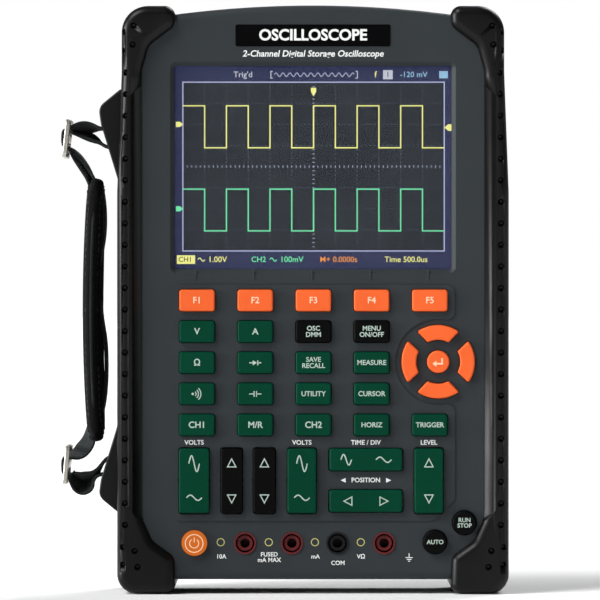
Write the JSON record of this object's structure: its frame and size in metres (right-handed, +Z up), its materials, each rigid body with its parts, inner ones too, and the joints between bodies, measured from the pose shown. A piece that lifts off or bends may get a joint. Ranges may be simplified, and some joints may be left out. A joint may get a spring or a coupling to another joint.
{
  "type": "handheld oscilloscope",
  "caption": "Handheld oscilloscope and multimeter with colour screen, keypad, rubber boots, hand strap, kickstand and top-edge probe inputs.",
  "frame": {"origin": "on the surface it stands on, below the middle of the whole object with its strap", "axes": "+Z up along the case, -Y out of the screen, +X to the viewer's right"},
  "size_m": [0.1872, 0.052, 0.245],
  "materials": {
    "case_plastic": "fine spark-eroded texture",
    "boot_rubber": "matte with dimples",
    "window": "clear, anti-glare",
    "lcd": "dark display in a frame",
    "plate": "glossy",
    "mat_rubber": "matte silicone",
    "board": "solder mask",
    "battery": "shrink film",
    "nickel": "nickel plate",
    "port_metal": "tinned steel",
    "socket_red": "moulded",
    "socket_black": "moulded",
    "screw_steel": "zinc plated",
    "lug_plastic": "fine texture",
    "stand_plastic": "fine texture",
    "buckle_steel": "satin nickel",
    "webbing": "woven polyester",
    "pad": "padded cloth",
    "orange_keys": "silk-printed, slightly satin",
    "power_key": "translucent, lit from behind",
    "green_keys": "slightly satin",
    "black_keys": "slightly satin"
  },
  "bodies": {
    "housing": {"front_housing": "case_plastic", "rear_housing": "case_plastic", "left_bumper": "boot_rubber", "right_bumper": "boot_rubber", "screen_window": "window", "lcd_module": "lcd", "name_plate": "plate", "keypad_mat": "mat_rubber", "key_board": "board", "main_board": "board", "battery_pack": "battery", "battery_cover": "case_plastic", "bnc_connectors": "nickel", "port_connectors": "port_metal", "input_sockets_red": "socket_red", "input_socket_black": "socket_black", "case_screws": "screw_steel", "strap_lugs": "lug_plastic"},
    "key_f1": {"key_f1": "orange_keys"},
    "key_f2": {"key_f2": "orange_keys"},
    "key_f3": {"key_f3": "orange_keys"},
    "key_f4": {"key_f4": "orange_keys"},
    "key_f5": {"key_f5": "orange_keys"},
    "key_v": {"key_v": "green_keys"},
    "key_a": {"key_a": "green_keys"},
    "key_osc_dmm": {"key_osc_dmm": "black_keys"},
    "key_menu": {"key_menu": "black_keys"},
    "key_ohm": {"key_ohm": "green_keys"},
    "key_diode": {"key_diode": "green_keys"},
    "key_save_recall": {"key_save_recall": "green_keys"},
    "key_measure": {"key_measure": "green_keys"},
    "key_buzzer": {"key_buzzer": "green_keys"},
    "key_capacitor": {"key_capacitor": "green_keys"},
    "key_utility": {"key_utility": "green_keys"},
    "key_cursor": {"key_cursor": "green_keys"},
    "key_ch1": {"key_ch1": "green_keys"},
    "key_math_ref": {"key_math_ref": "green_keys"},
    "key_ch2": {"key_ch2": "green_keys"},
    "key_horizontal": {"key_horizontal": "green_keys"},
    "key_trigger": {"key_trigger": "green_keys"},
    "key_power": {"key_power": "power_key"},
    "key_auto": {"key_auto": "black_keys"},
    "key_run_stop": {"key_run_stop": "black_keys"},
    "arrow_up": {"arrow_up": "orange_keys"},
    "arrow_down": {"arrow_down": "orange_keys"},
    "arrow_left": {"arrow_left": "orange_keys"},
    "arrow_right": {"arrow_right": "orange_keys"},
    "key_enter": {"key_enter": "orange_keys"},
    "rocker_volts_1": {"rocker_volts_1": "green_keys"},
    "rocker_position_1": {"rocker_position_1": "black_keys"},
    "rocker_position_2": {"rocker_position_2": "black_keys"},
    "rocker_volts_2": {"rocker_volts_2": "green_keys"},
    "rocker_level": {"rocker_level": "green_keys"},
    "rocker_time": {"rocker_time": "green_keys"},
    "rocker_position_time": {"rocker_position_time": "green_keys"},
    "kickstand": {"kickstand": "stand_plastic"},
    "port_cover": {"port_cover": "boot_rubber"},
    "strap": {"strap_buckles": "buckle_steel", "strap_webbing": "webbing", "strap_pad": "pad"}
  },
  "joints": [
    {"name": "kickstand_hinge", "type": "hinge", "parent": "housing", "child": "kickstand", "pos_m": [0.01215, 0.0223, 0.15], "axis": [1, 0, 0], "range_deg": [0, 38]},
    {"name": "port_cover_hinge", "type": "hinge", "parent": "housing", "child": "port_cover", "pos_m": [0.01215, 0.0173, 0.2286], "axis": [-1, 0, 0], "range_deg": [0, 95]},
    {"name": "strap_swing", "type": "hinge", "parent": "housing", "child": "strap", "pos_m": [-0.07235, 0, 0.1215], "axis": [0, 0, 1], "range_deg": [-10, 10]},
    {"name": "rocker_volts_1_rock", "type": "hinge", "parent": "housing", "child": "rocker_volts_1", "pos_m": [-0.03725, -0.019, 0.047], "axis": [1, 0, 0], "range_deg": [-2.5, 2.5], "stiffness_Nm_per_rad": 0.3},
    {"name": "rocker_position_1_rock", "type": "hinge", "parent": "housing", "child": "rocker_position_1", "pos_m": [-0.02165, -0.019, 0.047], "axis": [1, 0, 0], "range_deg": [-2.5, 2.5], "stiffness_Nm_per_rad": 0.3},
    {"name": "rocker_position_2_rock", "type": "hinge", "parent": "housing", "child": "rocker_position_2", "pos_m": [-0.00805, -0.019, 0.047], "axis": [1, 0, 0], "range_deg": [-2.5, 2.5], "stiffness_Nm_per_rad": 0.3},
    {"name": "rocker_volts_2_rock", "type": "hinge", "parent": "housing", "child": "rocker_volts_2", "pos_m": [0.00755, -0.019, 0.047], "axis": [1, 0, 0], "range_deg": [-2.5, 2.5], "stiffness_Nm_per_rad": 0.3},
    {"name": "rocker_level_rock", "type": "hinge", "parent": "housing", "child": "rocker_level", "pos_m": [0.06035, -0.019, 0.047], "axis": [1, 0, 0], "range_deg": [-2.5, 2.5], "stiffness_Nm_per_rad": 0.3},
    {"name": "rocker_time_rock", "type": "hinge", "parent": "housing", "child": "rocker_time", "pos_m": [0.03415, -0.019, 0.0558], "axis": [0, 0, 1], "range_deg": [-2.5, 2.5], "stiffness_Nm_per_rad": 0.3},
    {"name": "rocker_position_time_rock", "type": "hinge", "parent": "housing", "child": "rocker_position_time", "pos_m": [0.03415, -0.019, 0.0386], "axis": [0, 0, 1], "range_deg": [-2.5, 2.5], "stiffness_Nm_per_rad": 0.3},
    {"name": "key_f1_press", "type": "slide", "parent": "housing", "child": "key_f1", "axis": [0, 1, 0], "range_m": [0, 0.001], "stiffness_N_per_m": 400, "springref_m": -0.001},
    {"name": "key_f2_press", "type": "slide", "parent": "housing", "child": "key_f2", "axis": [0, 1, 0], "range_m": [0, 0.001], "stiffness_N_per_m": 400, "springref_m": -0.001},
    {"name": "key_f3_press", "type": "slide", "parent": "housing", "child": "key_f3", "axis": [0, 1, 0], "range_m": [0, 0.001], "stiffness_N_per_m": 400, "springref_m": -0.001},
    {"name": "key_f4_press", "type": "slide", "parent": "housing", "child": "key_f4", "axis": [0, 1, 0], "range_m": [0, 0.001], "stiffness_N_per_m": 400, "springref_m": -0.001},
    {"name": "key_f5_press", "type": "slide", "parent": "housing", "child": "key_f5", "axis": [0, 1, 0], "range_m": [0, 0.001], "stiffness_N_per_m": 400, "springref_m": -0.001},
    {"name": "key_v_press", "type": "slide", "parent": "housing", "child": "key_v", "axis": [0, 1, 0], "range_m": [0, 0.001], "stiffness_N_per_m": 400, "springref_m": -0.001},
    {"name": "key_a_press", "type": "slide", "parent": "housing", "child": "key_a", "axis": [0, 1, 0], "range_m": [0, 0.001], "stiffness_N_per_m": 400, "springref_m": -0.001},
    {"name": "key_osc_dmm_press", "type": "slide", "parent": "housing", "child": "key_osc_dmm", "axis": [0, 1, 0], "range_m": [0, 0.001], "stiffness_N_per_m": 400, "springref_m": -0.001},
    {"name": "key_menu_press", "type": "slide", "parent": "housing", "child": "key_menu", "axis": [0, 1, 0], "range_m": [0, 0.001], "stiffness_N_per_m": 400, "springref_m": -0.001},
    {"name": "key_ohm_press", "type": "slide", "parent": "housing", "child": "key_ohm", "axis": [0, 1, 0], "range_m": [0, 0.001], "stiffness_N_per_m": 400, "springref_m": -0.001},
    {"name": "key_diode_press", "type": "slide", "parent": "housing", "child": "key_diode", "axis": [0, 1, 0], "range_m": [0, 0.001], "stiffness_N_per_m": 400, "springref_m": -0.001},
    {"name": "key_save_recall_press", "type": "slide", "parent": "housing", "child": "key_save_recall", "axis": [0, 1, 0], "range_m": [0, 0.001], "stiffness_N_per_m": 400, "springref_m": -0.001},
    {"name": "key_measure_press", "type": "slide", "parent": "housing", "child": "key_measure", "axis": [0, 1, 0], "range_m": [0, 0.001], "stiffness_N_per_m": 400, "springref_m": -0.001},
    {"name": "key_buzzer_press", "type": "slide", "parent": "housing", "child": "key_buzzer", "axis": [0, 1, 0], "range_m": [0, 0.001], "stiffness_N_per_m": 400, "springref_m": -0.001},
    {"name": "key_capacitor_press", "type": "slide", "parent": "housing", "child": "key_capacitor", "axis": [0, 1, 0], "range_m": [0, 0.001], "stiffness_N_per_m": 400, "springref_m": -0.001},
    {"name": "key_utility_press", "type": "slide", "parent": "housing", "child": "key_utility", "axis": [0, 1, 0], "range_m": [0, 0.001], "stiffness_N_per_m": 400, "springref_m": -0.001},
    {"name": "key_cursor_press", "type": "slide", "parent": "housing", "child": "key_cursor", "axis": [0, 1, 0], "range_m": [0, 0.001], "stiffness_N_per_m": 400, "springref_m": -0.001},
    {"name": "key_ch1_press", "type": "slide", "parent": "housing", "child": "key_ch1", "axis": [0, 1, 0], "range_m": [0, 0.001], "stiffness_N_per_m": 400, "springref_m": -0.001},
    {"name": "key_math_ref_press", "type": "slide", "parent": "housing", "child": "key_math_ref", "axis": [0, 1, 0], "range_m": [0, 0.001], "stiffness_N_per_m": 400, "springref_m": -0.001},
    {"name": "key_ch2_press", "type": "slide", "parent": "housing", "child": "key_ch2", "axis": [0, 1, 0], "range_m": [0, 0.001], "stiffness_N_per_m": 400, "springref_m": -0.001},
    {"name": "key_horizontal_press", "type": "slide", "parent": "housing", "child": "key_horizontal", "axis": [0, 1, 0], "range_m": [0, 0.001], "stiffness_N_per_m": 400, "springref_m": -0.001},
    {"name": "key_trigger_press", "type": "slide", "parent": "housing", "child": "key_trigger", "axis": [0, 1, 0], "range_m": [0, 0.001], "stiffness_N_per_m": 400, "springref_m": -0.001},
    {"name": "key_power_press", "type": "slide", "parent": "housing", "child": "key_power", "axis": [0, 1, 0], "range_m": [0, 0.001], "stiffness_N_per_m": 400, "springref_m": -0.001},
    {"name": "key_auto_press", "type": "slide", "parent": "housing", "child": "key_auto", "axis": [0, 1, 0], "range_m": [0, 0.001], "stiffness_N_per_m": 400, "springref_m": -0.001},
    {"name": "key_run_stop_press", "type": "slide", "parent": "housing", "child": "key_run_stop", "axis": [0, 1, 0], "range_m": [0, 0.001], "stiffness_N_per_m": 400, "springref_m": -0.001},
    {"name": "arrow_up_press", "type": "slide", "parent": "housing", "child": "arrow_up", "axis": [0, 1, 0], "range_m": [0, 0.001], "stiffness_N_per_m": 400, "springref_m": -0.001},
    {"name": "arrow_down_press", "type": "slide", "parent": "housing", "child": "arrow_down", "axis": [0, 1, 0], "range_m": [0, 0.001], "stiffness_N_per_m": 400, "springref_m": -0.001},
    {"name": "arrow_left_press", "type": "slide", "parent": "housing", "child": "arrow_left", "axis": [0, 1, 0], "range_m": [0, 0.001], "stiffness_N_per_m": 400, "springref_m": -0.001},
    {"name": "arrow_right_press", "type": "slide", "parent": "housing", "child": "arrow_right", "axis": [0, 1, 0], "range_m": [0, 0.001], "stiffness_N_per_m": 400, "springref_m": -0.001},
    {"name": "key_enter_press", "type": "slide", "parent": "housing", "child": "key_enter", "axis": [0, 1, 0], "range_m": [0, 0.001], "stiffness_N_per_m": 400, "springref_m": -0.001}
  ]
}
